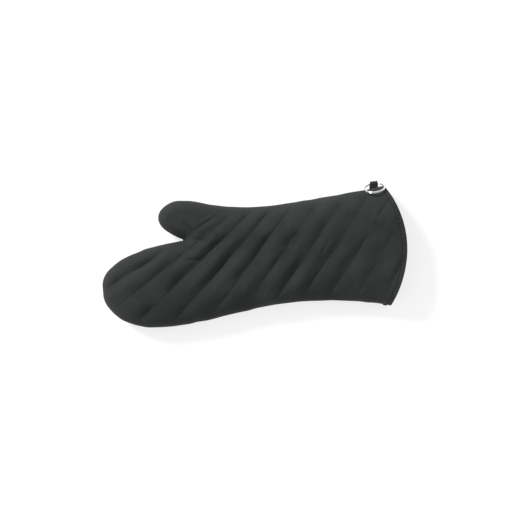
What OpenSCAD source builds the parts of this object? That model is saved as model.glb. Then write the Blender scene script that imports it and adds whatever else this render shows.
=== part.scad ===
// Quilted oven mitt: two padded panels sewn edge to edge, with a thumb, a hemmed open cuff,
// a tape loop in the side seam and a split ring in the loop.
// It lies on its back: X runs from the fingertips to the cuff, +Y is the thumb side and +Z the palm side.
// The origin is on the table, under the middle of the mitt.

/* [Outline] */
// Length from the fingertips to the middle of the cuff's edge
mitt_l = 432; // [330:1:600]
// Width across the four fingers, at the knuckles
hand_w = 115; // [95:1:140]
// Width at the wrist, the narrowest place of the sleeve
wrist_w = 138; // [120:1:170]
// Width across the cuff's two corners
cuff_w = 167; // [140:1:200]
// How far the cuff's edge bows out beyond its corners
cuff_bow = 26; // [5:1:45]
// How much further the thumb side's corner reaches than the other
cuff_slant = 11; // [0:1:25]
// Distance from the cuff's edge to the narrowest place
wrist_from_cuff = 176; // [130:1:200]
// Distance from the fingertips to the crotch between thumb and hand
crotch_from_tip = 122; // [105:1:145]
// Distance from the fingertips to the line where the fingers bend
knuckle_from_tip = 91; // [60:1:100]
// Length of the thumb, square to its root
thumb_l = 50; // [38:1:62]
// Width of the thumb at its root
thumb_root_w = 60; // [50:1:70]
// Angle of the thumb's root line to the mitt's length
thumb_root_angle = 49; // [40:1:58]

/* [Fullness] */
// Height of the side seam above the table
seam_h = 17; // [12:0.5:24]
// Rise of the palm above the side seam
palm_rise = 30; // [22:0.5:42]
// Width over which the palm rounds down to the seam
palm_round = 46; // [30:1:56]
// Width over which the back rounds up to the seam
back_round = 23; // [14:1:30]

/* [Cloth] */
// Thickness of the outer cloth
cloth_t = 1; // [0.6:0.1:1.5]
// Thickness of the batting
batting_t = 6; // [3:0.5:8]
// Thickness of the lining
lining_t = 1; // [0.5:0.1:1.5]
// Gap between the two panels at the side seam
seam_gap = 0.1; // [0.05:0.05:0.3]
// Gap between one layer's solid and the next
layer_gap = 0.1; // [0.02:0.01:0.3]
// Clearance on each side of the line where a part of the mitt bends
bend_gap = 0.3; // [0.2:0.1:0.6]

/* [Hem and stitching] */
// Depth of the hem around the cuff
hem_w = 6; // [4:0.5:12]
// Distance of the hem's stitching from the edge
hem_stitch_in = 4; // [2.5:0.5:10]
// Distance between quilting lines, along the mitt
quilt_pitch = 38; // [28:1:60]
// How much further apart the quilting lines are on the hand, for each line squared
quilt_spread = 1.6; // [0:0.1:2]
// Angle of the quilting lines at the middle of the mitt
quilt_angle = 47; // [30:1:60]
// Change of that angle for each millimetre towards the cuff
quilt_fan = 0.03; // [0:0.01:0.06]
// Further change of that angle for each millimetre towards the fingertips
quilt_hand_fan = 0.085; // [0:0.005:0.1]
// Distance that the quilting stops short of the edges
quilt_margin = 14; // [8:1:25]
// Width of a row of quilting stitches
stitch_w = 0.8; // [0.5:0.1:1.5]

/* [Loop and ring] */
// Width of the tape
tape_w = 12.5; // [8:0.5:20]
// Thickness of the tape
tape_t = 0.9; // [0.6:0.1:1.5]
// Distance of the loop's middle from the cuff's corner
loop_from_corner = 15; // [10:1:40]
// Distance from the loop's root to the ring's wire
loop_reach = 6; // [4.5:0.1:9]
// Outside diameter of the split ring
ring_d = 32; // [24:1:40]
// Width of the ring's wire, across the ring
wire_w = 2; // [1.4:0.1:2.6]
// Thickness of both coils together
ring_t = 2.4; // [1.6:0.1:3.2]
// Clearance of the wire inside the loop
ring_clearance = 0.35; // [0.2:0.05:0.8]
// Angle at which the ring leans back over the palm
ring_lean = 56; // [50:1:75]

/* [Hidden] */

CLOTH = [0.2, 0.21, 0.21];
FILL = [0.85, 0.84, 0.8];
LINING = [0.3, 0.31, 0.31];
THREAD = [0.13, 0.13, 0.13];

// Depths of the layers' faces below the outside of the cloth
outer_face = 0;
batting_face = cloth_t;
lining_face = cloth_t + batting_t;
inner_face = cloth_t + batting_t + lining_t;

// Grid steps of a panel: along the hand, the thumb's root, the sleeve, the fingers and the thumb, and across
hand_steps = 2;
root_steps = 5;
sleeve_steps = 9;
finger_steps = 8;
thumb_steps = 6;
across_steps = 12;

// ---- The mitt's outline ----
x_tip = -mitt_l / 2;
x_cuff = mitt_l / 2;
x_knuckle = x_tip + knuckle_from_tip;
x_wrist = x_cuff - wrist_from_cuff;
x_corner_low = x_cuff - cuff_bow - cuff_slant / 2;
x_corner_high = x_cuff - cuff_bow + cuff_slant / 2;
tip_y = -27;
knuckle_y = -24.5;
cuff_mid_y = -6.5;
crotch = [x_tip + crotch_from_tip, knuckle_y + hand_w / 2 + 3.5];
root_dir = [cos(thumb_root_angle), sin(thumb_root_angle)];
root_out = [-root_dir[1], root_dir[0]];
root_end = crotch + thumb_root_w * root_dir;

// The lower edge: nearly straight along the hand, and a parabola from the wrist out to the cuff
function lower_y(x) = x < x_wrist
    ? ease(-wrist_w / 2, knuckle_y - hand_w / 2, (x_wrist - x) / (x_wrist - x_knuckle))
    : -wrist_w / 2 + (cuff_mid_y - cuff_w / 2 + wrist_w / 2) * pow((x - x_wrist) / (x_corner_low - x_wrist), 2);
// The upper edge: a parabola from the wrist up to the thumb, and a gentler curve out to the cuff
function upper_y(x) = x < x_wrist
    ? wrist_w / 2 + (root_end[1] - wrist_w / 2) * pow((x_wrist - x) / (x_wrist - root_end[0]), 2)
    : wrist_w / 2 + (cuff_mid_y + cuff_w / 2 - wrist_w / 2) * pow((x - x_wrist) / (x_corner_high - x_wrist), 1.3);
// The hand's upper edge, from the knuckle line to the crotch
function hand_y(x) = crotch[1] - 3.5 * (crotch[0] - x) / (crotch[0] - x_knuckle);
// The cuff's edge, bowed between its two corners; w runs from the lower corner to the upper
function cuff_x(w) = x_corner_low + cuff_slant * w + 4 * cuff_bow * w * (1 - w);

function ease(a, b, t) = a + (b - a) * (3 - 2 * t) * t * t;
function mix(a, b, t) = a + (b - a) * t;
function clamp01(t) = max(0, min(1, t));
// Rows crowd towards both edges, where the panel curves most
function crowd(w) = (1 - cos(180 * w)) / 2;
// Rows crowd towards a rounded end
function crowd_end(u) = 1 - (1 - u) * (1 - u);

// The fingers' end: two rounded curves that meet at the tip; s runs from the knuckle line to the tip
function finger_high(s, in) = tip_y + (hand_y(x_knuckle) - in - tip_y) * pow(1 - pow(s, 1.4), 1 / 3);
function finger_low(s, in) = tip_y + (knuckle_y - hand_w / 2 + in - tip_y) * pow(1 - pow(s, 2.4), 1 / 1.85);

// The thumb in its own directions: across its root, and out from it; s runs from the root to the tip
thumb_tip_t = 0.26 * thumb_root_w;
thumb_bulge = 3.7;
thumb_taper = 21;
function thumb_low(s, in) =
    thumb_tip_t - (thumb_tip_t + thumb_bulge * (1 - pow(1 - s, 4)) - in) * sqrt(1 - pow(s, 5));
function thumb_high(s, in) =
    thumb_tip_t + (thumb_root_w - thumb_taper * s - in - thumb_tip_t) * sqrt(1 - pow(s, 5));
function thumb_xy(out, t) = crotch + t * root_dir + out * root_out;

// The closed edge of the whole mitt, from the cuff's lower corner round to its upper corner
low_side = [for (i = [0 : 14]) let (x = mix(x_corner_low, x_knuckle, i / 14)) [x, lower_y(x)]];
finger_low_side = [for (i = [1 : 14]) let (s = crowd_end(i / 15))
    [mix(x_knuckle, x_tip, s), finger_low(s, 0)]];
finger_high_side = [for (i = [14 : -1 : 1]) let (s = crowd_end(i / 15))
    [mix(x_knuckle, x_tip, s), finger_high(s, 0)]];
hand_side = [for (i = [0 : 3]) let (x = mix(x_knuckle, crotch[0], i / 3)) [x, hand_y(x)]];
thumb_low_side = [for (i = [1 : 11]) let (s = crowd_end(i / 12)) thumb_xy(thumb_l * s, thumb_low(s, 0))];
thumb_high_side = [for (i = [11 : -1 : 1]) let (s = crowd_end(i / 12)) thumb_xy(thumb_l * s, thumb_high(s, 0))];
high_side = [for (i = [0 : 12]) let (x = mix(root_end[0], x_corner_high, i / 12)) [x, upper_y(x)]];
finger_edge = concat([last(low_side)], finger_low_side, [[x_tip, tip_y]], finger_high_side, [hand_side[0]]);
thumb_edge = concat([crotch], thumb_low_side, [thumb_xy(thumb_l, thumb_tip_t)], thumb_high_side, [root_end]);
edge = concat(low_side, finger_low_side, [[x_tip, tip_y]], finger_high_side, hand_side,
              thumb_low_side, [thumb_xy(thumb_l, thumb_tip_t)], thumb_high_side, high_side);

function last(list) = list[len(list) - 1];
function segment_distance(p, a, b) = let (t = clamp01(((p - a) * (b - a)) / ((b - a) * (b - a)))) norm(p - a - t * (b - a));
function edge_distance(p) = min([for (i = [0 : len(edge) - 2]) segment_distance(p, edge[i], edge[i + 1])]);

// ---- Heights ----
// A quarter of an ellipse: steep at the seam, level once the edge is far enough away
function swell(d, round) = let (t = 1 - clamp01(d / round)) sqrt(1 - t * t);
// Height of the palm's face (side 1) or the back's face (side -1) at a depth below the outside
function face_z(p, depth, side) = let (d = max(0, edge_distance(p) - depth))
    side > 0 ? seam_z(1) + (palm_rise - depth) * swell(d, palm_round)
             : seam_z(-1) - (seam_h - depth) * swell(d, back_round) + seam_gap / 2 * swell(d, back_round);
function seam_z(side) = seam_h + side * seam_gap / 2;

// ---- Panels: a closed shell between two faces, each a grid of rows ----
// A row runs from the lower edge to the upper edge; on_seam says whether each end lies on the side seam
function row(a, b, depth, side, seam_a, seam_b) = [for (j = [0 : across_steps])
    let (p = mix(a, b, crowd(j / across_steps)))
    [p[0], p[1], (j == 0 && seam_a) || (j == across_steps && seam_b) ? seam_z(side) : face_z(p, depth, side)]];

function upper_end(x, depth) = x <= crotch[0] + 0.01 ? hand_y(x) - depth
    : x >= root_end[0] - 0.01 ? upper_y(x) - depth
    : crotch[1] + (x - crotch[0]) * root_dir[1] / root_dir[0] - bend_gap / root_dir[0];
function main_row(x, depth, side) = row([x, lower_y(x) + depth], [x, upper_end(x, depth)], depth, side,
    true, x <= crotch[0] + 0.01 || x >= root_end[0] - 0.01);
// A sleeve row lies between the thumb's root and the bowed cuff, which it takes on by degrees
// How far the batting stops short of the cuff's edge, clear of the hem's fold
fill_short = cloth_t + 0.7;
// How far the cloth and lining stop short of the cuff's edge, where the hem takes over
hem_short = hem_w + layer_gap;
function sleeve_row(u, depth, side, short) = [for (j = [0 : across_steps])
    let (w = crowd(j / across_steps), x = mix(root_end[0], cuff_x(w) - short, u),
         y = mix(lower_y(x) + depth, upper_y(x) - depth, w))
    [x, y, j == 0 || j == across_steps ? seam_z(side) : face_z([x, y], depth, side)]];
function main_rows(depth, side, short) = concat(
    [for (i = [0 : hand_steps - 1])
        main_row(mix(x_knuckle + bend_gap, crotch[0], i / hand_steps), depth, side)],
    [for (i = [0 : root_steps - 1]) main_row(mix(crotch[0], root_end[0], i / root_steps), depth, side)],
    [for (i = [0 : sleeve_steps]) sleeve_row(i / sleeve_steps, depth, side, hem_short)],
    short < hem_short ? [sleeve_row(1, depth, side, short)] : []);
function finger_rows(depth, side) = concat(
    [for (i = [0 : finger_steps - 1]) let (s = crowd_end(i / finger_steps),
         x = mix(x_knuckle - bend_gap, x_tip + depth, s))
        row([x, finger_low(s, depth)], [x, finger_high(s, depth)], depth, side, true, true)],
    [[[x_tip + depth, tip_y, seam_z(side)]]]);
function thumb_rows(depth, side) = concat(
    [for (i = [0 : thumb_steps - 1]) let (s = crowd_end(i / thumb_steps),
         out = mix(bend_gap, thumb_l - depth, s))
        row(thumb_xy(out, thumb_low(s, depth)), thumb_xy(out, thumb_high(s, depth)), depth, side, true, true)],
    [let (p = thumb_xy(thumb_l - depth, thumb_tip_t)) [[p[0], p[1], seam_z(side)]]]);

// Joins an outer and an inner grid of rows into one closed shell. The last row may be a single point.
// upward says that the outer grid's rows and columns turn anticlockwise, seen from outside.
module shell(outer, inner, upward) {
    m = across_steps;
    n = len(outer) - 1;
    pole = len(outer[n]) == 1;
    count = n * (m + 1) + len(outer[n]);
    function at(i, j) = pole && i == n ? n * (m + 1) : i * (m + 1) + j;
    function wind(f, turned) = turned ? [f[0], f[2], f[1]] : f;
    function sheet(base, turned) = [for (i = [0 : n - 1], j = [0 : m - 1], half = [0, 1])
        let (a = at(i, j), b = at(i + 1, j), c = at(i + 1, j + 1), d = at(i, j + 1),
             f = half == 0 ? [a, b, c] : [a, c, d])
        if (f[0] != f[1] && f[1] != f[2] && f[0] != f[2]) wind([base + f[0], base + f[1], base + f[2]], turned)];
    rim = concat([for (i = [0 : n - 1]) at(i, 0)], pole ? [at(n, 0)] : [for (j = [0 : m]) at(n, j)],
                 [for (i = [n - 1 : -1 : 0]) at(i, m)], [for (j = [m - 1 : -1 : 1]) at(0, j)]);
    rim_faces = [for (k = [0 : len(rim) - 1], half = [0, 1])
        let (a = rim[k], b = rim[(k + 1) % len(rim)])
        wind(half == 0 ? [a, count + a, b] : [b, count + a, count + b], upward)];
    polyhedron([for (rows = [outer, inner], r = rows, p = r) p],
               concat(sheet(0, upward), sheet(count, !upward), rim_faces));
}

// Sweeps closed sections, given as lists of points of one length, into one solid. Each end is closed
// by a strip of quads between the section's first half and its second.
module sweep(rings) {
    n = len(rings);
    m = len(rings[0]);
    sides = [for (i = [0 : n - 2], j = [0 : m - 1], half = [0, 1])
        let (a = i * m + j, b = i * m + (j + 1) % m, c = a + m, d = b + m)
        half == 0 ? [a, c, b] : [b, c, d]];
    polyhedron([for (r = rings, p = r) p],
               concat([for (j = [0 : m / 2 - 2]) [j, j + 1, m - 2 - j, m - 1 - j]], sides,
                      [for (j = [0 : m / 2 - 2], base = (n - 1) * m) [m - 1 - j, m - 2 - j, j + 1, j] + [base, base, base, base]]));
}

// The three parts of the mitt, for one side and one layer between two depths
module main_layer(side, top, bottom, short) {
    shell(main_rows(top + layer_gap / 2, side, short), main_rows(bottom - layer_gap / 2, side, short), side > 0);
}
module finger_layer(side, top, bottom) {
    shell(finger_rows(top + layer_gap / 2, side), finger_rows(bottom - layer_gap / 2, side), side < 0);
}
module thumb_layer(side, top, bottom) {
    shell(thumb_rows(top + layer_gap / 2, side), thumb_rows(bottom - layer_gap / 2, side), side < 0);
}

module palm_outer_cloth() { color(CLOTH) main_layer(1, outer_face, batting_face, hem_short); }
module palm_batting() { color(FILL) main_layer(1, batting_face, lining_face, fill_short); }
module palm_lining() { color(LINING) main_layer(1, lining_face, inner_face, hem_short); }
module back_outer_cloth() { color(CLOTH) main_layer(-1, outer_face, batting_face, hem_short); }
module back_batting() { color(FILL) main_layer(-1, batting_face, lining_face, fill_short); }
module back_lining() { color(LINING) main_layer(-1, lining_face, inner_face, hem_short); }

module finger_palm_outer_cloth() { color(CLOTH) finger_layer(1, outer_face, batting_face); }
module finger_palm_batting() { color(FILL) finger_layer(1, batting_face, lining_face); }
module finger_palm_lining() { color(LINING) finger_layer(1, lining_face, inner_face); }
module finger_back_outer_cloth() { color(CLOTH) finger_layer(-1, outer_face, batting_face); }
module finger_back_batting() { color(FILL) finger_layer(-1, batting_face, lining_face); }
module finger_back_lining() { color(LINING) finger_layer(-1, lining_face, inner_face); }

module thumb_palm_outer_cloth() { color(CLOTH) thumb_layer(1, outer_face, batting_face); }
module thumb_palm_batting() { color(FILL) thumb_layer(1, batting_face, lining_face); }
module thumb_palm_lining() { color(LINING) thumb_layer(1, lining_face, inner_face); }
module thumb_back_outer_cloth() { color(CLOTH) thumb_layer(-1, outer_face, batting_face); }
module thumb_back_batting() { color(FILL) thumb_layer(-1, batting_face, lining_face); }
module thumb_back_lining() { color(LINING) thumb_layer(-1, lining_face, inner_face); }

// ---- Hem: cloth turned round the panel's edge at the cuff, outside, over the end and inside ----
module cuff_hem(side) {
    outside = layer_gap / 2;
    inside = inner_face - layer_gap / 2;
    fold = cloth_t;
    top_leg = outside + cloth_t - 2 * layer_gap;
    low_leg = inside - lining_t + 2 * layer_gap;
    profile = [[hem_w, outside], [0, outside], [0, inside], [hem_w, inside],
               [hem_w, low_leg], [fold, low_leg],
               [fold, top_leg], [hem_w, top_leg]];
    rings = [for (j = [0 : across_steps]) let (w = crowd(j / across_steps))
        [for (q = profile) let (x = cuff_x(w) - q[0], y = mix(lower_y(x) + q[1], upper_y(x) - q[1], w))
            [x, y, j == 0 || j == across_steps ? seam_z(side) : face_z([x, y], q[1], side)]]];
    sweep(side > 0 ? rings : [for (r = rings) [for (i = [len(r) - 1 : -1 : 0]) r[i]]]);
}
module cuff_hem_palm() { color(CLOTH) cuff_hem(1); }
module cuff_hem_back() { color(CLOTH) cuff_hem(-1); }

// ---- Threads: flat ribbons sunk in the cloth along a path of points on a face ----
// The palm's threads stand a little proud, and the back's lie just below what it rests on
thread_proud = 0.15;
thread_under = 0.05;
thread_thick = 0.3;
function surface_ring(p, across, width, side) =
    let (a = p - across * width / 2, b = p + across * width / 2,
         top = side > 0 ? thread_proud : -thread_under, low = top - thread_thick)
    [for (q = [[a, low], [b, low], [b, top], [a, top]]) [q[0][0], q[0][1], face_z(q[0], 0, side) + side * q[1]]];
module surface_thread(path, width, side) {
    n = len(path) - 1;
    rings = [for (i = [0 : n]) let (t = path[min(n, i + 1)] - path[max(0, i - 1)], d = t / norm(t))
        surface_ring(path[i], [-d[1], d[0]], width, side)];
    sweep(side > 0 ? rings : [for (i = [n : -1 : 0]) rings[i]]);
}

module hem_thread(side) {
    path = [for (j = [1 : 15]) let (w = crowd(j / 16), x = cuff_x(w) - hem_stitch_in)
        [x, mix(lower_y(x), upper_y(x), w)]];
    surface_thread(path, stitch_w, side);
}
module hem_thread_palm() { color(THREAD) hem_thread(1); }
module hem_thread_back() { color(THREAD) hem_thread(-1); }

// The seam's thread runs round the edge, just inside it, half in each panel
module seam_thread(path, inward) {
    r = 0.4;
    inset = 0.5;
    n = len(path) - 1;
    sweep([for (i = [0 : n]) let (t = path[min(n, i + 1)] - path[max(0, i - 1)], d = inward * [-t[1], t[0]] / norm(t),
                                  a = path[i] + d * (inset - r), b = path[i] + d * (inset + r))
        inward > 0 ? [[a[0], a[1], seam_h - r], [a[0], a[1], seam_h + r], [b[0], b[1], seam_h + r], [b[0], b[1], seam_h - r]]
                   : [[b[0], b[1], seam_h - r], [b[0], b[1], seam_h + r], [a[0], a[1], seam_h + r], [a[0], a[1], seam_h - r]]]);
}
function trimmed(path, gap) = let (n = len(path) - 1, a = path[1] - path[0], b = path[n - 1] - path[n])
    [for (i = [0 : n]) i == 0 ? path[0] + gap * a / norm(a) : i == n ? path[n] + gap * b / norm(b) : path[i]];
module side_seam_thread() {
    color(THREAD) {
        seam_thread(trimmed(low_side, 2 * bend_gap), -1);
        seam_thread(trimmed(hand_side, 2 * bend_gap), -1);
        seam_thread(trimmed(high_side, 2 * bend_gap), -1);
    }
}
module finger_seam_thread() { color(THREAD) seam_thread(trimmed(finger_edge, 2 * bend_gap), -1); }
module thumb_seam_thread() { color(THREAD) seam_thread(trimmed(thumb_edge, 2 * bend_gap), -1); }

// Quilting: parallel slanted lines that fan a little, each kept to one part of the mitt
quilt_count = 6;
quilt_shift = 2;
quilt_reach = 110;
quilt_step = 9;
cuff_margin = 20;
function quilt_line(i) = let (x = quilt_shift + quilt_pitch * i - quilt_spread * pow(min(i, 0), 2),
                              a = quilt_angle + quilt_fan * x + quilt_hand_fan * min(x, 0))
    [for (t = [-quilt_reach : quilt_step : quilt_reach]) [x + t * cos(a), t * sin(a)]];
function in_main(p) = p[0] > x_knuckle + 2 && p[0] < x_cuff - cuff_margin - cuff_bow * pow(2 * p[1] / cuff_w, 2)
    && p[1] > lower_y(p[0]) && p[1] < (p[0] < crotch[0] ? hand_y(p[0]) : upper_y(p[0]))
    && ((p - crotch) * root_out < -3 || p[1] < crotch[1] - 3) && edge_distance(p) > quilt_margin;
function in_fingers(p) = let (s = (x_knuckle - p[0]) / (x_knuckle - x_tip))
    s > 0.02 && s < 0.98 && p[1] > finger_low(s, 0) && p[1] < finger_high(s, 0) && edge_distance(p) > quilt_margin;
module main_quilting(side) {
    for (i = [-quilt_count : quilt_count]) {
        path = [for (p = quilt_line(i)) if (in_main(p)) p];
        if (len(path) > 2) surface_thread(path, stitch_w, side);
    }
}
module finger_quilting(side) {
    for (i = [-quilt_count : quilt_count]) {
        path = [for (p = quilt_line(i)) if (in_fingers(p)) p];
        if (len(path) > 1) surface_thread(path, stitch_w, side);
    }
}
module palm_quilt_thread() { color(THREAD) main_quilting(1); }
module back_quilt_thread() { color(THREAD) main_quilting(-1); }
module finger_palm_quilt_thread() { color(THREAD) finger_quilting(1); }
module finger_back_quilt_thread() { color(THREAD) finger_quilting(-1); }

// ---- Tape loop and split ring ----
ring_mid_r = (ring_d - wire_w) / 2;
// The wire is an arc, so it strays this far from straight across the tape's width
wire_sag = ring_mid_r - sqrt(ring_mid_r * ring_mid_r - tape_w * tape_w / 4);
eye_r = norm([wire_w / 2 + wire_sag / 2, ring_t / 2]) + ring_clearance;
loop_x = x_corner_high - loop_from_corner;
loop_root_y = upper_y(loop_x) + tape_t;
eye_y = loop_root_y + max(loop_reach, eye_r + tape_t + 1);
ring_arm = ring_mid_r - wire_sag / 2;

// A row of close stitches across the tape's ends, on the palm beside the seam
module loop_bar_tack() {
    tack_in = 4;
    color(THREAD) surface_thread([for (i = [-2 : 2]) let (x = loop_x + i * tape_w / 5) [x, upper_y(x) - tack_in]],
                                 2 * stitch_w, 1);
}
module hang_loop_tape() {
    outside_r = eye_r + tape_t;
    reach = eye_y - loop_root_y;
    color(CLOTH) translate([loop_x - tape_w / 2, loop_root_y, seam_h]) rotate([90, 0, 90])
        difference() {
            union() {
                translate([reach, 0, 0]) cylinder(h = tape_w, r = outside_r, $fn = 48);
                linear_extrude(tape_w)
                    polygon([[0, -tape_t], [0, tape_t], [reach - 0.3 * outside_r, 0.94 * outside_r],
                             [reach - 0.3 * outside_r, -0.94 * outside_r]]);
            }
            translate([reach, 0, -1]) cylinder(h = tape_w + 2, r = eye_r, $fn = 48);
        }
}
// Two coils of wire, pressed together, with a fine groove between them
module split_ring() {
    groove = 0.3;
    color("silver") translate([loop_x, eye_y - ring_arm * cos(ring_lean), seam_h + ring_arm * sin(ring_lean)])
        rotate([-ring_lean, 0, 0]) rotate_extrude($fn = 96)
            polygon([[ring_mid_r - wire_w / 2, -ring_t / 2], [ring_mid_r + wire_w / 2, -ring_t / 2],
                     [ring_mid_r + wire_w / 2, -groove / 2], [ring_mid_r + wire_w / 2 - groove, 0],
                     [ring_mid_r + wire_w / 2, groove / 2], [ring_mid_r + wire_w / 2, ring_t / 2],
                     [ring_mid_r - wire_w / 2, ring_t / 2]]);
}

palm_outer_cloth();
palm_batting();
palm_lining();
back_outer_cloth();
back_batting();
back_lining();
finger_palm_outer_cloth();
finger_palm_batting();
finger_palm_lining();
finger_back_outer_cloth();
finger_back_batting();
finger_back_lining();
thumb_palm_outer_cloth();
thumb_palm_batting();
thumb_palm_lining();
thumb_back_outer_cloth();
thumb_back_batting();
thumb_back_lining();
cuff_hem_palm();
cuff_hem_back();
hem_thread_palm();
hem_thread_back();
side_seam_thread();
finger_seam_thread();
thumb_seam_thread();
palm_quilt_thread();
back_quilt_thread();
finger_palm_quilt_thread();
finger_back_quilt_thread();
loop_bar_tack();
hang_loop_tape();
split_ring();
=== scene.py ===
"""A long quilted oven mitt lying on its back, with its cuff hem, stitches, tape loop and split ring."""

import math
from functools import cache

import bpy
import numpy as np
from bpy.props import FloatProperty, FloatVectorProperty, PointerProperty
from bpy.types import Operator, Panel, PropertyGroup
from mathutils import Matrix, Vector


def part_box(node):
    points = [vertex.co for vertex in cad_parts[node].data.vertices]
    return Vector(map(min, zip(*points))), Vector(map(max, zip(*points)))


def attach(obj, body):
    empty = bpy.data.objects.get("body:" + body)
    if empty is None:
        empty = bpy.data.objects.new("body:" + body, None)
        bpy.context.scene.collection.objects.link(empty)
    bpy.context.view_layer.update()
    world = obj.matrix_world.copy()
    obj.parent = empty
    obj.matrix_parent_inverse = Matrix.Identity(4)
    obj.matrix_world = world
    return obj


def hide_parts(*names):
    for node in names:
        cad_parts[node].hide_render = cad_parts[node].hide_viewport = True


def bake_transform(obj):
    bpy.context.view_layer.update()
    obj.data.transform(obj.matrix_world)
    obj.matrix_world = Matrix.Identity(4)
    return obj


bl_info = {
    "name": "Quilted oven mitt",
    "version": (1, 0, 0),
    "blender": (4, 5, 0),
    "location": "View3D > Sidebar > Mitt",
    "description": "Builds a quilted oven mitt with its hem, stitches, tape loop and split ring",
    "category": "Add Mesh",
}

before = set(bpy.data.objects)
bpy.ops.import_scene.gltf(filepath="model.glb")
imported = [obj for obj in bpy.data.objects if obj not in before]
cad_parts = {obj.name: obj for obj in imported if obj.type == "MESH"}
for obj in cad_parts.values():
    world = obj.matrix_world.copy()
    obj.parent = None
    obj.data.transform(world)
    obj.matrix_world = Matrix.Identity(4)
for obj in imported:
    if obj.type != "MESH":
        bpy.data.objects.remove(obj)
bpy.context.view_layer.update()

# Shapes are worked out in millimetres, and a mesh is made in metres
MM = 0.001


def node_box(name):
    """A node's lowest and highest corners, in millimetres."""
    low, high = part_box(name)
    return np.array(low) / MM, np.array(high) / MM


# ---- The mitt's outline, hung on the frame's nodes ----
FINGER_LOW = node_box("finger_palm_outer_cloth")[0]
HEM_HIGH = node_box("cuff_hem_palm")[1]
TAPE_LOW, TAPE_HIGH = node_box("hang_loop_tape")
TIP_X = round(FINGER_LOW[0])
CUFF_X = round(HEM_HIGH[0])
SEAM_Z = round(FINGER_LOW[2])
PALM_RISE = 30.0
PALM_ROUND = 46.0
BACK_ROUND = 23.0
KNUCKLE_X = TIP_X + 91.0
WRIST_X = CUFF_X - 176.0
TIP_Y, KNUCKLE_Y, CUFF_MID_Y = -27.0, -24.5, -6.5
HAND_W, WRIST_W, CUFF_W = 115.0, 138.0, 167.0
# How far the hand's upper edge climbs from the knuckles to the crotch
CROTCH_RISE = 3.5
CUFF_BOW, CUFF_SLANT = 26.0, 11.0
CORNER_LOW_X = CUFF_X - CUFF_BOW - CUFF_SLANT / 2
CORNER_HIGH_X = CUFF_X - CUFF_BOW + CUFF_SLANT / 2
CROTCH = np.array([TIP_X + 122.0, KNUCKLE_Y + HAND_W / 2 + CROTCH_RISE])
ROOT_ANGLE = math.radians(49)
ROOT_DIR = np.array([math.cos(ROOT_ANGLE), math.sin(ROOT_ANGLE)])
ROOT_OUT = np.array([-ROOT_DIR[1], ROOT_DIR[0]])
ROOT_W, THUMB_L = 60.0, 50.0
THUMB_TIP_T = 0.26 * ROOT_W
ROOT_END = CROTCH + ROOT_W * ROOT_DIR

# Depths of the layers' faces below the outside of the cloth
CLOTH_FACES = (0.0, 1.0)
BATTING_FACES = (2.2, 6.3)
LINING_FACES = (7.0, 8.0)
HEM_W = 6.0


def mix(a, b, t):
    """The value a share t of the way from a to b."""
    return a + (b - a) * t


def ease(t, low=0.0, high=1.0):
    """0 below low, 1 above high and an S-shaped rise between."""
    t = np.clip((t - low) / (high - low), 0, 1)
    return t * t * (3 - 2 * t)


def crowd(w):
    """Even steps turned into steps that crowd towards both ends."""
    return (1 - np.cos(np.pi * w)) / 2


def lower_y(x):
    """The lower edge: an S-curve from the knuckles to the wrist, then a parabola out to the cuff."""
    hand = mix(-WRIST_W / 2, KNUCKLE_Y - HAND_W / 2, ease((WRIST_X - x) / (WRIST_X - KNUCKLE_X)))
    flare = np.maximum(x - WRIST_X, 0) / (CORNER_LOW_X - WRIST_X)
    return np.where(x < WRIST_X, hand, mix(-WRIST_W / 2, CUFF_MID_Y - CUFF_W / 2, flare**2))


def upper_y(x):
    """The upper edge: a parabola from the wrist up to the thumb, and a gentler curve out to the cuff."""
    thumb = mix(WRIST_W / 2, ROOT_END[1], (np.maximum(WRIST_X - x, 0) / (WRIST_X - ROOT_END[0])) ** 2)
    flare = (np.maximum(x - WRIST_X, 0) / (CORNER_HIGH_X - WRIST_X)) ** 1.3
    return np.where(x < WRIST_X, thumb, mix(WRIST_W / 2, CUFF_MID_Y + CUFF_W / 2, flare))


def hand_y(x):
    """The hand's upper edge: straight from the knuckle line to the crotch."""
    return CROTCH[1] - CROTCH_RISE * (CROTCH[0] - x) / (CROTCH[0] - KNUCKLE_X)


def finger_high(s):
    """The fingers' upper edge: a blunt rounded curve, s from the knuckle line to the tip."""
    return TIP_Y + (hand_y(KNUCKLE_X) - TIP_Y) * np.cbrt(1 - s**1.4)


def finger_low(s):
    """The fingers' lower edge: a rounder curve, s from the knuckle line to the tip."""
    return TIP_Y + (KNUCKLE_Y - HAND_W / 2 - TIP_Y) * (1 - s**2.4) ** (1 / 1.85)


def thumb_low(s):
    """The thumb's edge beside the fingers, measured along its root: nearly straight, with a round end."""
    return THUMB_TIP_T - (THUMB_TIP_T + 3.7 * (1 - (1 - s) ** 4)) * np.sqrt(1 - s**5)


def thumb_high(s):
    """The thumb's outer edge, measured along its root: a taper with a round end."""
    return THUMB_TIP_T + (ROOT_W - 21 * s - THUMB_TIP_T) * np.sqrt(1 - s**5)


def thumb_xy(out, t):
    """A point of the thumb, t along its root line and out from it."""
    return CROTCH + t[..., None] * ROOT_DIR + out[..., None] * ROOT_OUT


# ---- Grids over the panels: rows run from the lower edge to the upper one ----
ACROSS = 120
HEM_ROWS = np.array([0.0, 0.5, 1.1, 2.0, 3.0, 3.5, 4.0, 4.5, 5.2, 6.0])
CLOTH_START = len(HEM_ROWS) - 1
BATTING_START = 2


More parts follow.
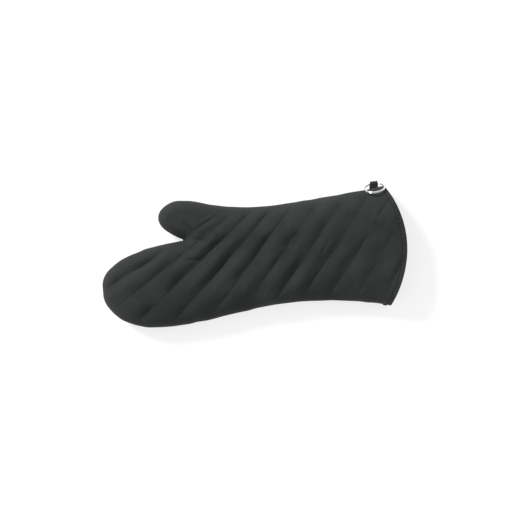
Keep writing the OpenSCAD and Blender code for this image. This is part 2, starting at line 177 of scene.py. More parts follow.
def sleeve_rows():
    """Sleeve rows g millimetres in from the cuff's edge: slanted and bowed like it, straighter further in."""
    w = crowd(np.linspace(0, 1, ACROSS + 1))[None]
    length = (CORNER_LOW_X + CORNER_HIGH_X) / 2 - ROOT_END[0]
    g = np.concatenate([HEM_ROWS, np.linspace(HEM_W, length, 152)[1:]])[:, None] / length
    low = mix(CORNER_LOW_X, ROOT_END[0], g)
    high = mix(CORNER_HIGH_X, ROOT_END[0], g)
    x = mix(low, high, w) + CUFF_BOW * 4 * w * (1 - w) * (1 - ease(g))
    return np.stack([x, mix(lower_y(low), upper_y(high), w)], 2)


def hand_rows():
    """Hand rows straight across the hand, up to the thumb's root line and then to the hand's upper edge."""
    w = crowd(np.linspace(0, 1, ACROSS + 1))[None]
    root = crowd(np.linspace(1, 0, ROOT_STEPS + 1))[1:]
    x = np.concatenate([CROTCH[0] + ROOT_W * ROOT_DIR[0] * root, np.linspace(CROTCH[0], KNUCKLE_X, 17)[1:]])
    top = np.concatenate([CROTCH[1] + ROOT_W * ROOT_DIR[1] * root, hand_y(x[ROOT_STEPS:])])
    x = x[:, None]
    return np.stack([x + 0 * w, mix(lower_y(x), top[:, None], w)], 2)


def finger_rows():
    """Finger rows from the knuckle line to the tip, where they close to a point."""
    w = crowd(np.linspace(0, 1, ACROSS + 1))[None]
    s = (1 - (1 - np.linspace(0, 1, 76)[1:]) ** 2.2)[:, None]
    return np.stack([mix(KNUCKLE_X, TIP_X, s) + 0 * w, mix(finger_low(s), finger_high(s), w)], 2)


def thumb_rows():
    """Thumb rows from the root line to the thumb's tip, where they close to a point."""
    w = crowd(np.linspace(0, 1, ROOT_STEPS + 1))[None]
    s = (1 - (1 - np.linspace(0, 1, 46)) ** 2)[:, None]
    return thumb_xy(THUMB_L * s + 0 * w, mix(thumb_low(s), thumb_high(s), w))


ROOT_STEPS = 48
MAIN_XY = np.concatenate([sleeve_rows(), hand_rows(), finger_rows()])
THUMB_XY = thumb_rows()
ROOT_ROWS = slice(len(sleeve_rows()) - 1, len(sleeve_rows()) + ROOT_STEPS)


def outline():
    """The mitt's edge from the cuff's lower corner round the tip, crotch and thumb to its upper corner."""
    upper = MAIN_XY[:, -1]
    fingers, sleeve = upper[-2 : ROOT_ROWS.stop - 1 : -1], upper[ROOT_ROWS.start - 1 :: -1]
    thumb = np.concatenate([THUMB_XY[:, 0], THUMB_XY[-2::-1, -1]])
    return np.concatenate([MAIN_XY[:, 0], fingers, thumb, sleeve])


OUTLINE = outline()


def edge_field(p):
    """Distance from each point to the nearest piece of the outline, and the unit direction away from it."""
    a, b = OUTLINE[:-1], OUTLINE[1:]
    along = b - a
    length = np.maximum(np.hypot(along[:, 0], along[:, 1]), 1e-9)
    side = np.stack([along[:, 1], -along[:, 0]], 1) / length[:, None]
    rel_x = p[:, :1] - a[:, 0]
    rel_y = p[:, 1:] - a[:, 1]
    t = np.clip((rel_x * along[:, 0] + rel_y * along[:, 1]) / length**2, 0, 1)
    off_x, off_y = rel_x - t * along[:, 0], rel_y - t * along[:, 1]
    square = off_x**2 + off_y**2
    k = square.argmin(1)
    rows = np.arange(len(p))
    d = np.sqrt(square[rows, k])
    away = np.stack([off_x[rows, k], off_y[rows, k]], 1) / np.maximum(d, 1e-9)[:, None]
    return d, np.where((d > 0.02)[:, None], away, side[k])


def in_chunks(function, p, size=4000):
    """A function's results for some thousands of points at a time, joined."""
    parts = [function(p[i : i + size]) for i in range(0, len(p), size)]
    return [np.concatenate(x) for x in zip(*parts)]


def weights(t):
    """Catmull-Rom weights of four neighbours at a share t between the middle two."""
    first, last = (-t + 2 * t**2 - t**3) / 2, (t**3 - t**2) / 2
    return first, (2 - 5 * t**2 + 3 * t**3) / 2, (t + 4 * t**2 - 3 * t**3) / 2, last


def cubic(table, fx, fy):
    """Catmull-Rom interpolation of a table at fractional indices."""
    ix, iy = np.floor(fx).astype(int), np.floor(fy).astype(int)
    wx, wy = weights(fx - ix), weights(fy - iy)
    return sum(wx[i] * wy[j] * table[ix + i - 1, iy + j - 1] for i in range(4) for j in range(4))


def noise(x, y, size, seed):
    """Smooth hills between about -1 and 1: seeded values on a lattice of the given size, joined by cubics."""
    table = np.random.default_rng(seed).uniform(-1, 1, (64, 64))
    return cubic(table, np.mod(x / size + 20.37, 60) + 1, np.mod(y / size + 20.71, 60) + 1)


# ---- The distance to the edge, smoothed in the middle so that no ridge runs along the thumb ----
CELL = 2.0
LATTICE_X = np.arange(TIP_X - 8, CUFF_X + 12, CELL)
LATTICE_Y = np.arange(-104, 108, CELL)
SHARP_TO, SMOOTH_FROM = 4.0, 15.0


def smooth_distance():
    """The distance to the edge averaged with its neighbours again and again, kept as it is near the edge."""
    x, y = np.meshgrid(LATTICE_X, LATTICE_Y, indexing="ij")
    d, _ = in_chunks(edge_field, np.stack([x.ravel(), y.ravel()], 1))
    d = d.reshape(x.shape)
    keep = 1 - ease(d, SHARP_TO, SMOOTH_FROM)
    field = d
    for _ in range(100):
        pad = np.pad(field, 1, mode="edge")
        mean = (pad[:-2, 1:-1] + pad[2:, 1:-1] + pad[1:-1, :-2] + pad[1:-1, 2:]) / 4
        field = mix(mean, d, keep)
    return field


DISTANCE = smooth_distance()
SLOPES = np.gradient(DISTANCE, CELL)


def lattice(table, x, y):
    """A lattice table's value at any points."""
    fx = np.clip((x - LATTICE_X[0]) / CELL, 1, len(LATTICE_X) - 3.001)
    fy = np.clip((y - LATTICE_Y[0]) / CELL, 1, len(LATTICE_Y) - 3.001)
    return cubic(table, fx, fy)


# ---- Quilting lines ----
QUILT_PITCH, QUILT_SHIFT, QUILT_SPREAD = 38.0, 2.0, 1.6
QUILT_FIRST, QUILT_LAST = -5, 5
# How deep each line pulls the cloth in, from the fingertips to the cuff
LINE_PULL = np.array([0.7, 0.85, 0.95, 1.35, 1.2, 1.0, 0.95, 1.0, 0.9, 0.8, 0.6])
# How far across the mitt each line's deepest place is
LINE_DEEPEST = np.array([0, 8, -5, 22, -8, -5, -12, -30, -18, -10, 0])
GROOVE_ROUND = 1.5


def line_place(i):
    """Where quilting line i crosses the middle of the mitt, and its angle to the mitt's length."""
    x = QUILT_SHIFT + QUILT_PITCH * i - QUILT_SPREAD * np.minimum(i, 0) ** 2
    return x, np.radians(np.clip(47 + 0.03 * x + 0.085 * np.minimum(x, 0), 22, 60))


def quilt_phase(x, y):
    """A number that is whole on each quilting line, found for every point by repeated correction. The lines
    wander a little, because they are sewn by hand along a soft panel."""
    x = x + 1.6 * noise(x, y, 33.0, 21)
    i = (x - QUILT_SHIFT) / QUILT_PITCH
    for _ in range(12):
        place, angle = line_place(i)
        i = i + 0.8 * (x - place - y / np.tan(angle)) / (QUILT_PITCH - 2 * QUILT_SPREAD * np.minimum(i, 0))
    return i


def thumbness(x, y):
    """1 on the thumb and its root, 0 on the hand and sleeve."""
    rel_x, rel_y = x - CROTCH[0], y - CROTCH[1]
    out = rel_x * ROOT_OUT[0] + rel_y * ROOT_OUT[1]
    along = rel_x * ROOT_DIR[0] + rel_y * ROOT_DIR[1]
    return ease(out, -14, 4) * ease(along, -10, 4)


# Folds round the crotch and two on the sleeve: where each starts and ends, its half width and depth
FOLDS = (
    ((-90, 62), (-78, 45), 2.0, 2.2),
    ((-80, 37), (-62, 30), 1.8, 2.2),
    ((-93, 29), (-78, 21), 2.6, 1.6),
    ((-93, 8), (-74, 6), 2.2, 1.7),
    ((-114, 3), (-99, 15), 2.2, 1.3),
    ((-68, 68), (-52, 56), 3.2, 1.1),
    ((-50, 44), (-44, 32), 2.4, 1.8),
    ((60, 8), (66, 24), 3.0, 1.4),
    ((96, -6), (108, 12), 2.6, 1.3),
)


def fold(x, y, start, end, width):
    """A soft fold: 1 on the line from start to end, less to its sides and ends."""
    dx, dy = end[0] - start[0], end[1] - start[1]
    length = math.hypot(dx, dy)
    t = ((x - start[0]) * dx + (y - start[1]) * dy) / length**2
    q = ((y - start[1]) * dx - (x - start[0]) * dy) / length
    return np.exp(-((q / width) ** 2)) * ease(t, -0.2, 0.2) * (1 - ease(t, 0.8, 1.2))


def relief(x, y, d, side):
    """How far the cloth stands out of the smooth shape. Each channel between two quilting lines is a pillow,
    level in its middle and falling to a rounded groove at each line, with small puckers beside the stitches.
    Folds are pressed in, mostly round the crotch, and seeded hills make the surface uneven."""
    phase = quilt_phase(x, y)
    line = np.round(phase)
    _, angle = line_place(line)
    gap = (QUILT_PITCH - 2 * QUILT_SPREAD * np.minimum(line, 0)) * np.sin(angle)
    q = np.abs(phase - line) * gap
    share = np.clip(2 * (np.hypot(q, GROOVE_ROUND) - GROOVE_ROUND) / (gap - 2 * GROOVE_ROUND), 0, 1)
    along = x * np.cos(angle) + y * np.sin(angle)
    number = np.clip(line - QUILT_FIRST, 0, len(LINE_PULL) - 1).astype(int)
    deepest = np.exp(-(((y - LINE_DEEPEST[number]) / 24) ** 2))
    pull = LINE_PULL[number] * (0.5 + 0.75 * deepest + 0.6 * noise(along, line * 37.0, 30.0, 7))
    pull = np.clip(pull, 0.15, 1.45)
    pull = pull * (1 - 0.6 * ease(x, 90, 200)) * (1 - 0.72 * ease(y, 24, 42) * (1 - ease(x, -25, 15)))
    inside = ease(d, 0, 10)
    quilted = ease(d, 2, 22) * (1 - thumbness(x, y))
    size = bpy.context.scene.mitt_cloth.puff / MM
    pillow = (1 - share) ** 1.9
    pucker = np.exp(-q / 6.0) * noise(along, 0.25 * q + line * 53, 6.0, 11)
    crumple = noise(along, 2.2 * q + line * 71, 21.0, 17) * (1 - share)
    h = -size * pull * quilted * pillow + quilted * (0.5 * pucker + 1.25 * crumple)
    h = h + inside * (1.5 * noise(x, y, 46.0, 3) + 1.0 * noise(x, y, 17.0, 5))
    if side > 0:
        for start, end, width, deep in FOLDS:
            h = h - deep * fold(x, y, start, end, width)
    else:
        h = np.minimum(h, 0) * inside
    crotch = 1 - np.exp(-((x - CROTCH[0]) ** 2 + (y - CROTCH[1]) ** 2) / 15.0**2)
    full = 1.25 * crotch * np.exp(-d / 12.0) + 0.45 * noise(x, y, 12.0, 9) * np.exp(-d / 8.0)
    return h + full - 0.7 * np.exp(-((d / 1.1) ** 2))


def face(xy, side):
    """The palm's smooth face (side 1) or the back's (side -1): a quarter of an ellipse inwards from the side
    seam, then level. Returns its points, the unit directions out of it, the relief and the edge distance."""
    flat = xy.reshape(-1, 2)
    x, y = flat[:, 0], flat[:, 1]
    edge, inward = in_chunks(edge_field, flat)
    edge = np.where(edge < 1e-6, 0, edge)
    far = ease(edge, SHARP_TO, SMOOTH_FROM)
    d = mix(edge, lattice(DISTANCE, x, y), far)
    slope = np.stack([lattice(SLOPES[0], x, y), lattice(SLOPES[1], x, y)], 1)
    inward = mix(inward, slope, far[:, None])
    rise, around = (PALM_RISE, PALM_ROUND) if side > 0 else (SEAM_Z, BACK_ROUND)
    q = 1 - np.clip(d / around, 0, 1)
    swell = np.sqrt(np.maximum(1 - q * q, 0))
    out = np.concatenate([-(q * rise / around)[:, None] * inward, side * swell[:, None]], 1)
    out /= np.linalg.norm(out, axis=1)[:, None]
    points = np.stack([x, y, SEAM_Z + side * rise * swell], 1)
    stand = relief(x, y, d, side)
    shape = xy.shape[:-1]
    return points.reshape(shape + (3,)), out.reshape(shape + (3,)), stand.reshape(shape), d.reshape(shape)


def layer(made, depth, raised=1.0):
    """A face's points taken in by a depth, with its relief raised times."""
    points, out, stand, _ = made
    return points + out * (stand * raised - depth)[..., None]


# ---- Mesh making ----
def add_mesh(name, points, faces, material, attributes=None):
    """A mesh piece from points in millimetres and lists of quads, with its equal points merged, its thin
    faces dropped and its faces turned outwards, which a positive volume shows."""
    points = points.reshape(-1, 3)
    keys = np.round(points * 1e4).astype(np.int64)
    _, first, index = np.unique(keys, axis=0, return_index=True, return_inverse=True)
    index = index.ravel()
    points = points[first]
    whole = []
    for block in faces:
        block = index[block]
        same = [block[:, k] == block[:, (k + 1) % 4] for k in range(4)]
        count = sum(s.astype(int) for s in same)
        whole.append(block[count == 0])
        for k in range(4):
            keep = [j for j in range(4) if j != k]
            whole.append(block[(count == 1) & same[k]][:, keep])
    volume = 0.0
    for block in whole:
        a = points[block[:, 0]]
        for k in range(1, block.shape[1] - 1):
            volume += (a * np.cross(points[block[:, k]], points[block[:, k + 1]])).sum()
    if volume < 0:
        whole = [block[:, ::-1] for block in whole]
    mesh = bpy.data.meshes.new(name)
    mesh.from_pydata((points * MM).tolist(), [], [f for block in whole for f in block.tolist()])
    mesh.validate()
    mesh.polygons.foreach_set("use_smooth", np.full(len(mesh.polygons), True))
    for key, values in (attributes or {}).items():
        spot = mesh.attributes.new(key, "FLOAT", "POINT")
        spot.data.foreach_set("value", np.asarray(values, float).ravel()[first].astype(np.float32))
    mesh.materials.append(material)
    piece = bpy.data.objects.new(name, mesh)
    bpy.context.collection.objects.link(piece)
    return piece


def grid_quads(index):
    """The quads of a grid of point numbers."""
    return np.stack([index[:-1, :-1], index[1:, :-1], index[1:, 1:], index[:-1, 1:]], 2).reshape(-1, 4)


def shell(name, outer, inner, material, attributes=None):
    """A closed shell between two grids of points: both faces, and a strip along each of the four borders."""
    shape = outer.shape[:2]
    a = np.arange(outer.shape[0] * outer.shape[1]).reshape(shape)
    b = a + a.size
    rim_a = np.concatenate([a[:-1, 0], a[-1, :-1], a[:0:-1, -1], a[0, :0:-1], a[:1, 0]])
    rim_b = rim_a + a.size
    strip = np.stack([rim_a[1:], rim_a[:-1], rim_b[:-1], rim_b[1:]], 1)
    faces = [grid_quads(a), grid_quads(b)[:, ::-1], strip]
    doubled = {key: np.concatenate([v.ravel(), v.ravel()]) for key, v in (attributes or {}).items()}
    return add_mesh(name, np.concatenate([outer.reshape(-1, 3), inner.reshape(-1, 3)]), faces, material, doubled)


def tube(sections):
    """Quads of sections joined in turn, each a ring of points. Open ends close with strips across the ring."""
    n, m = sections.shape[:2]
    index = np.arange(n * m).reshape(n, m)
    ring = np.concatenate([index, index[:, :1]], 1)
    half = m // 2
    start = np.stack([index[0, :half], index[0, : half - 1 : -1]], 1)
    end = np.stack([index[-1, :half], index[-1, : half - 1 : -1]], 1)
    return [grid_quads(ring), grid_quads(start), grid_quads(end)[:, ::-1]]


def stitches(name, start, end, out, radius, material):
    """Many stitches, each a short thread that is fat in its middle and pointed at both ends: five rings of six
    points about the line from start to end, with out as the direction away from the cloth."""
    along = end - start
    across = np.cross(along, out)
    across /= np.linalg.norm(across, axis=1)[:, None]
    up = np.cross(across, along)
    up /= np.linalg.norm(up, axis=1)[:, None]
    turn = np.arange(6) * np.pi / 3
    place = np.array([0, 0.13, 0.5, 0.87, 1])
    fat = np.array([0, 0.8, 1, 0.8, 0])
    thick = fat * radius
    centre = start[:, None] + along[:, None] * place[None, :, None] + up[:, None] * thick[None, :, None]
    level, rise = np.cos(turn)[None, None, :, None], np.sin(turn)[None, None, :, None]
    ring = level * across[:, None, None] + rise * up[:, None, None]
    points = centre[:, :, None] + ring * thick[None, :, None, None]
    index = np.arange(points[..., 0].size).reshape(len(start), 5, 6)
    index = np.concatenate([index, index[:, :, :1]], 2)
    i, j = index[:, :-1], index[:, 1:]
    quads = np.stack([i[..., :-1], j[..., :-1], j[..., 1:], i[..., 1:]], 3).reshape(-1, 4)
    return add_mesh(name, points, [quads], material)


def match_normals(piece, spots, normals):
    """Gives a piece the surface's own normals at spots on a border, so that its shading runs on into the next."""
    mesh = piece.data
    points = np.empty(len(mesh.vertices) * 3)
    mesh.vertices.foreach_get("co", points)
    points = np.round(points.reshape(-1, 3) / MM * 1e2).astype(np.int64)
    known = {tuple(k): n for k, n in zip(np.round(spots * 1e2).astype(np.int64).tolist(), normals.tolist())}
    own = [known.get(tuple(k), (0.0, 0.0, 0.0)) for k in points.tolist()]
    mesh.normals_split_custom_set_from_vertices(own)


def surface_normals(xy, side, depth, raised):
    """Normals from the cross product of two small steps on a layer's face, along x and along y."""
    step = np.array([[0.4, 0], [-0.4, 0], [0, 0.4], [0, -0.4]])
    a, b, c, d = layer(face(xy[None] + step[:, None], side), depth, raised)
    n = np.cross(a - b, c - d)
    return side * n / np.linalg.norm(n, axis=1)[:, None]


@cache
def made_face(part, side):
    """A part's face for one side, worked out once."""
    return face(MAIN_XY if part == "hand" else THUMB_XY, side)


def panel(name, part, side, faces, raised, material, start=0, step=1):
    """One layer of a panel as a closed shell between two depths, from a row on, and at every step-th point."""
    made = made_face(part, side)
    xy = MAIN_XY if part == "hand" else THUMB_XY
    outer, inner = (layer(made, depth, share) for depth, share in zip(faces, raised))
    root = (ROOT_ROWS, -1) if part == "hand" else (0, slice(None))
    spots, border = outer[root], xy[root]
    rows = np.append(np.arange(start, len(xy) - 1, step), len(xy) - 1)
    columns = np.arange(xy.shape[1])
    if part == "hand":
        rows = np.unique(np.append(rows, np.arange(ROOT_ROWS.start, ROOT_ROWS.stop)))
        columns = np.unique(np.append(columns[::step], columns[-1]))
    keep = np.ix_(rows, columns)
    outer, inner, xy, stand, edge = (v[keep] for v in (outer, inner, xy, made[2], made[3]))
    phase = quilt_phase(xy[..., 0], xy[..., 1])
    quilted = ease(edge, 3, 16) * (1 - thumbness(xy[..., 0], xy[..., 1]))
    quilted = quilted * (1 - 0.5 * ease(xy[..., 0], 60, 190))
    # The cloth's material reads these for its bump and its colour: painted shade in the quilting creases, the
    # sunken places and along the side seam, and paler raised tops
    values = {"quilt_phase": phase, "quilted": quilted, "edge_distance": edge, "relief": stand}
    piece = shell(name, outer, inner, material, values)
    match_normals(piece, spots[1:-1], surface_normals(border, side, faces[0], raised[0])[1:-1])
    return piece


# ---- Materials ----
class Nodes:
    """A material's node tree, with short ways to add a node and to read the piece's own coordinates."""

    def __init__(self, name, **constants):
        self.material = bpy.data.materials.new(name)
        self.material.use_nodes = True
        self.tree = self.material.node_tree
        self.tree.nodes.clear()
        self.shader = self.add("ShaderNodeBsdfPrincipled")
        out = self.add("ShaderNodeOutputMaterial")
        self.tree.links.new(self.shader.outputs["BSDF"], out.inputs["Surface"])
        for key, value in constants.items():
            self.shader.inputs[key.replace("_", " ").title().replace("Ior", "IOR")].default_value = value
        self.place = self.add("ShaderNodeTexCoord").outputs["Object"]

    def add(self, kind, inputs=None, **settings):
        """A node with its settings, and its inputs set to values or linked to sockets."""
        node = self.tree.nodes.new(kind)
        for key, value in settings.items():
            setattr(node, key, value)
        for key, value in (inputs or {}).items():
            if isinstance(value, bpy.types.NodeSocket):
                self.tree.links.new(value, node.inputs[key])
            else:
                node.inputs[key].default_value = value
        return node

    def math(self, operation, a, b=0.0, c=0.0):
        """One sum on numbers or sockets."""
        return self.add("ShaderNodeMath", {0: a, 1: b, 2: c}, operation=operation).outputs[0]

    def total(self, *parts):
        """The sum of pairs of a socket and its weight."""
        whole = 0.0
        for socket, weight in parts:
            whole = self.math("MULTIPLY_ADD", socket, weight, whole)
        return whole

    def attribute(self, name):
        """A value stored at each of the piece's points."""
        return self.add("ShaderNodeAttribute", attribute_name=name).outputs["Fac"]

    def noise(self, size, detail=3.0, rough=0.55):
        """Noise from 0 to 1 with patches of about the given size in metres."""
        inputs = {"Vector": self.place, "Scale": 1 / size, "Detail": detail, "Roughness": rough}
        return self.add("ShaderNodeTexNoise", inputs).outputs["Fac"]

    def ribs(self, direction, pitch):
        """Ribs from 0 to 1 across a direction, one to each pitch in metres."""
        d = np.array(direction, float) / np.linalg.norm(direction) * 2 * np.pi / pitch
        inputs = {0: self.place, 1: tuple(d)}
        dot = self.add("ShaderNodeVectorMath", inputs, operation="DOT_PRODUCT").outputs["Value"]
        return self.math("MULTIPLY_ADD", self.math("SINE", dot), 0.5, 0.5)

    def range(self, value, low, high, to_low=0.0, to_high=1.0):
        """A value moved from one range to another and kept in it."""
        inputs = {"Value": value, "From Min": low, "From Max": high, "To Min": to_low, "To Max": to_high}
        return self.add("ShaderNodeMapRange", inputs).outputs["Result"]

    def colour(self, share, dark, light):
        """A colour between two, by a share."""
        # a mix node keeps its factor first, its two colours at 6 and 7 and its mixed colour third
        return self.add("ShaderNodeMix", {0: share, 6: (*dark, 1), 7: (*light, 1)}, data_type="RGBA").outputs[2]

    def bump(self, height, distance, strength=1.0, before=None):
        """A bump of a height from 0 to 1, distance metres deep, on top of one before it."""
        inputs = {"Height": height, "Distance": distance, "Strength": strength}
        if before is not None:
            inputs["Normal"] = before
        return self.add("ShaderNodeBump", inputs).outputs["Normal"]

    def finish(self, tone, dark, light, rough, normal=None):
        """Links a colour between two, the roughness and the normal, and returns the material."""
        sockets = {"Base Color": self.colour(tone, dark, light), "Roughness": rough, "Normal": normal}
        for key, socket in sockets.items():
            if socket is not None:
                self.tree.links.new(socket, self.shader.inputs[key])
        return self.material


def scaled(colour, share):
    """A colour made lighter or darker."""
    return tuple(c * share for c in colour)


def cloth_material(name, colour, quilted):
    """Washed cotton twill: fine slanted ribs with cross threads, slubs and lint. It is paler on the raised tops
    of the channels, as wear, and has painted shade in the sunken places, in the stitched creases and along the
    side seam."""
    n = Nodes(name, sheen_weight=0.06, sheen_roughness=0.5, specular_ior_level=0.16)
    twill = n.ribs((0.68, -0.5, 0.53), 0.0011)
    weft = n.ribs((0.5, 0.72, 0.48), 0.0008)
    weave = n.total((twill, 0.69), (weft, 0.69 * 0.45))
    slub = n.noise(0.0035, 4.0, 0.6)
    blotch = n.noise(0.03, 3.0, 0.5)
    lint = n.range(n.noise(0.0012, 2.0, 0.5), 0.62, 0.8)
    tone = n.total((blotch, 0.55), (slub, 0.35), (weave, 0.14), (lint, 0.16))
    before = n.bump(slub, 0.0005, 0.5)
    if quilted:
        phase = n.attribute("quilt_phase")
        off = n.math("ABSOLUTE", n.math("SUBTRACT", phase, n.math("ROUND", phase)))
        # painted shade: the colour darkens along each quilting line where its groove lies; the same mask also
        # dents the bump
        quilt_crease_shade_and_dent = n.math("MULTIPLY", n.range(off, 0.0, 0.045, 1.0, 0.0), n.attribute("quilted"))
        # painted shade: the cloth darkens in a band up to 2.4 mm in from the side seam, where its steep edge
        # turns from the light
        seam = n.range(n.attribute("edge_distance"), 0.4, 2.4, 1.0, 0.0)
        # paler on the raised tops of the channels, as wear, and darker where the cloth sinks into grooves and
        # folds, as painted shade
        wear_and_sunken_shade = n.range(n.attribute("relief"), -1.2, 1.4)
        tone = n.total((tone, 1.0), (wear_and_sunken_shade, 0.22), (quilt_crease_shade_and_dent, -0.22), (seam, -0.5))
        before = n.bump(n.math("SUBTRACT", 1.0, quilt_crease_shade_and_dent), 0.0007, 0.7, before)
    tone = n.range(tone, 0.1, 1.0)
    rough = n.range(slub, 0.2, 0.8, 0.84, 0.97)
    normal = n.bump(weave, 0.00022, 0.6, before)
    return n.finish(tone, scaled(colour, 0.6), scaled(colour, 1.45), rough, normal)


def batting_material():
    """Needled cotton fill: off-white, matted and lumpy, with fine fibres."""
    n = Nodes("Batting", sheen_weight=0.2, specular_ior_level=0.2)
    mat = n.noise(0.006, 6.0, 0.7)
    fibre = n.noise(0.0009, 2.0, 0.6)
    tone = n.total((mat, 0.6), (fibre, 0.4))
    normal = n.bump(fibre, 0.0004, 0.7, n.bump(mat, 0.0012))
    rough = n.range(mat, 0.3, 0.7, 0.88, 0.98)
    return n.finish(tone, (0.5, 0.47, 0.4), (0.78, 0.75, 0.68), rough, normal)


def thread_material(name, colour):
    """Spun polyester sewing thread: fine twist lines and a slight gloss."""
    n = Nodes(name, specular_ior_level=0.4, sheen_weight=0.15)
    twist = n.ribs((0.74, 0.35, 0.57), 0.0006)
    fuzz = n.noise(0.0008, 2.0)
    tone = n.total((twist, 0.6), (fuzz, 0.4))
    rough = n.range(fuzz, 0.2, 0.8, 0.5, 0.7)
    normal = n.bump(twist, 0.00015, 0.7)
    return n.finish(tone, scaled(colour, 0.65), scaled(colour, 1.3), rough, normal)


def tape_material(colour):
    """Woven twill tape: a herringbone of ribs along it, with darker and lighter yarns."""
    n = Nodes("Twill tape", sheen_weight=0.25, sheen_roughness=0.5, specular_ior_level=0.3)
    rib = n.ribs((1, 0, 0), 0.0016)
    yarn = n.ribs((0.3, 0.7, 0.7), 0.0009)
    fuzz = n.noise(0.0018, 3.0)
    weave = n.total((rib, 0.62), (yarn, 0.62 * 0.6))
    tone = n.total((weave, 0.55), (fuzz, 0.45))
    rough = n.range(fuzz, 0.2, 0.8, 0.78, 0.92)
    normal = n.bump(weave, 0.0003, 0.8, n.bump(fuzz, 0.0003, 0.5))
    return n.finish(tone, scaled(colour, 0.6), scaled(colour, 1.5), rough, normal)


def ring_material(colour):
    """Polished nickel-plated steel wire: bright, with fine drawing scratches and faint smears."""
    n = Nodes("Plated steel", metallic=1.0)
    smear = n.noise(0.006, 3.0)
    scratch = n.ribs((0.2, 0.5, 0.8), 0.0005)
    scuff = n.math("MULTIPLY", scratch, n.noise(0.0015, 4.0, 0.7))
    rough = n.range(n.total((smear, 1.0), (scuff, 0.3)), 0.3, 1.0, 0.09, 0.26)
    tone = n.range(smear, 0.25, 0.75)
    normal = n.bump(scuff, 0.00003, 0.5)
    return n.finish(tone, scaled(colour, 0.88), colour, rough, normal)


def floor_material(colour):
    """Matt white paper with a very faint mottle."""
    n = Nodes("White sweep", specular_ior_level=0.1, emission_color=(1, 1, 1, 1), emission_strength=0.7)
    mottle = n.noise(0.05, 4.0)
    rough = n.range(mottle, 0.2, 0.8, 0.9, 1.0)
    return n.finish(mottle, scaled(colour, 0.985), colour, rough)


@cache
def material(key):
    """One of the mitt's materials, made once."""
    cloth = bpy.context.scene.mitt_cloth
    fittings = bpy.context.scene.mitt_fittings
    makers = {
        "outer": lambda: cloth_material("Charcoal twill", tuple(cloth.colour), True),
        "hem": lambda: cloth_material("Charcoal hem cloth", tuple(cloth.colour), False),
        "lining": lambda: cloth_material("Lining cloth", tuple(cloth.lining_colour), False),
        "batting": batting_material,
        "thread": lambda: thread_material("Charcoal thread", tuple(cloth.thread_colour)),
        "hem_thread": lambda: thread_material("Hem thread", tuple(cloth.hem_thread_colour)),
        "tape": lambda: tape_material(tuple(fittings.tape_colour)),
        "ring": lambda: ring_material(tuple(fittings.ring_colour)),
    }
    return makers[key]()


# ---- Settings ----
class MittCloth(PropertyGroup):
    """Sizes and colours of the mitt's cloth and sewing."""

    puff: FloatProperty(
        name="Puff", description="Depth of the grooves", default=0.0044, min=0, max=0.008, unit="LENGTH"
    )
    stitch: FloatProperty(
        name="Stitch", description="Length of one quilting stitch", default=0.0034, min=0.001, unit="LENGTH"
    )
    stitch_gap: FloatProperty(
        name="Stitch gap", description="Gap between stitches", default=0.0012, min=0.0003, unit="LENGTH"
    )
    stitch_in: FloatProperty(
        name="Hem line", description="Hem stitches from the cuff's edge", default=0.004, unit="LENGTH"
    )
    thread_t: FloatProperty(name="Thread", description="Thickness of the thread", default=0.0008, unit="LENGTH")
    colour: FloatVectorProperty(
        name="Cloth", description="Outer cloth", default=(0.0215, 0.0245, 0.0237), subtype="COLOR"
    )
    lining_colour: FloatVectorProperty(
        name="Lining", description="Lining cloth", default=(0.045, 0.048, 0.047), subtype="COLOR"
    )
    thread_colour: FloatVectorProperty(
        name="Thread colour", description="Quilting thread", default=(0.015, 0.017, 0.0165), subtype="COLOR"
    )
    hem_thread_colour: FloatVectorProperty(
        name="Hem thread", description="Hem thread", default=(0.024, 0.0262, 0.0256), subtype="COLOR"
    )


class MittFittings(PropertyGroup):
    """Sizes and colours of the tape loop and the split ring."""

    tape_t: FloatProperty(name="Tape", description="Thickness of the tape", default=0.0009, unit="LENGTH")
    wire_w: FloatProperty(name="Wire", description="Width of the ring's wire", default=0.002, unit="LENGTH")
    wire_t: FloatProperty(
        name="Coil", description="Thickness of one coil of the ring", default=0.00115, unit="LENGTH"
    )
    ring_lean: FloatProperty(
        name="Lean", description="How steeply the ring stands", default=math.radians(63), subtype="ANGLE"
    )
    tape_slant: FloatProperty(
        name="Slant", description="How far the loop leans to the cuff", default=math.radians(6), subtype="ANGLE"
    )
    ring_d: FloatProperty(name="Ring", description="Outside diameter", default=0.0305, subtype="DISTANCE")
    tape_colour: FloatVectorProperty(
        name="Tape colour", description="Twill tape", default=(0.014, 0.016, 0.0155), subtype="COLOR"
    )
    ring_colour: FloatVectorProperty(
        name="Ring", description="Plated steel", default=(0.86, 0.87, 0.88), subtype="COLOR"
    )


class MittStage(PropertyGroup):
    """The floor, lights and camera."""

    view_span: FloatProperty(name="Span", description="Width of the view", default=0.722, unit="LENGTH")
    view_lens: FloatProperty(name="Lens", description="Focal length", default=0.2, min=0.02, unit="LENGTH")
    view_turn: FloatProperty(
        name="Turn", description="Turn of the view about the vertical", default=math.radians(-7), subtype="ANGLE"
    )
    sky: FloatProperty(name="Sky", description="Strength of the light from all round", default=0.65, min=0)
    key: FloatProperty(name="Key", description="Strength of the main light", default=3.4, min=0)
    floor_colour: FloatVectorProperty(
        name="Floor", description="Floor's colour", default=(0.38, 0.38, 0.38), subtype="COLOR"
    )


# ---- Pieces ----
SIDES = (("palm", 1), ("back", -1))
# Half the wall that a cuff hem wraps
HEM_HALF_WALL = 4.1
# Length of a stitch and the gap after it, in millimetres, on the hem and on the side seam
HEM_SEWING = (3.6, 1.9)
SEAM_SEWING = (2.3, 1.0)
SEAM_IN = 0.9
# The seam's folded end: how far in from the corner its middle is, and half its length, width and height
SEAM_END_IN, SEAM_END_HALF = 8.2, (3.2, 1.9, 2.2)
# Share of the outer cloth's relief that reaches the inside
INNER_RELIEF = 0.35


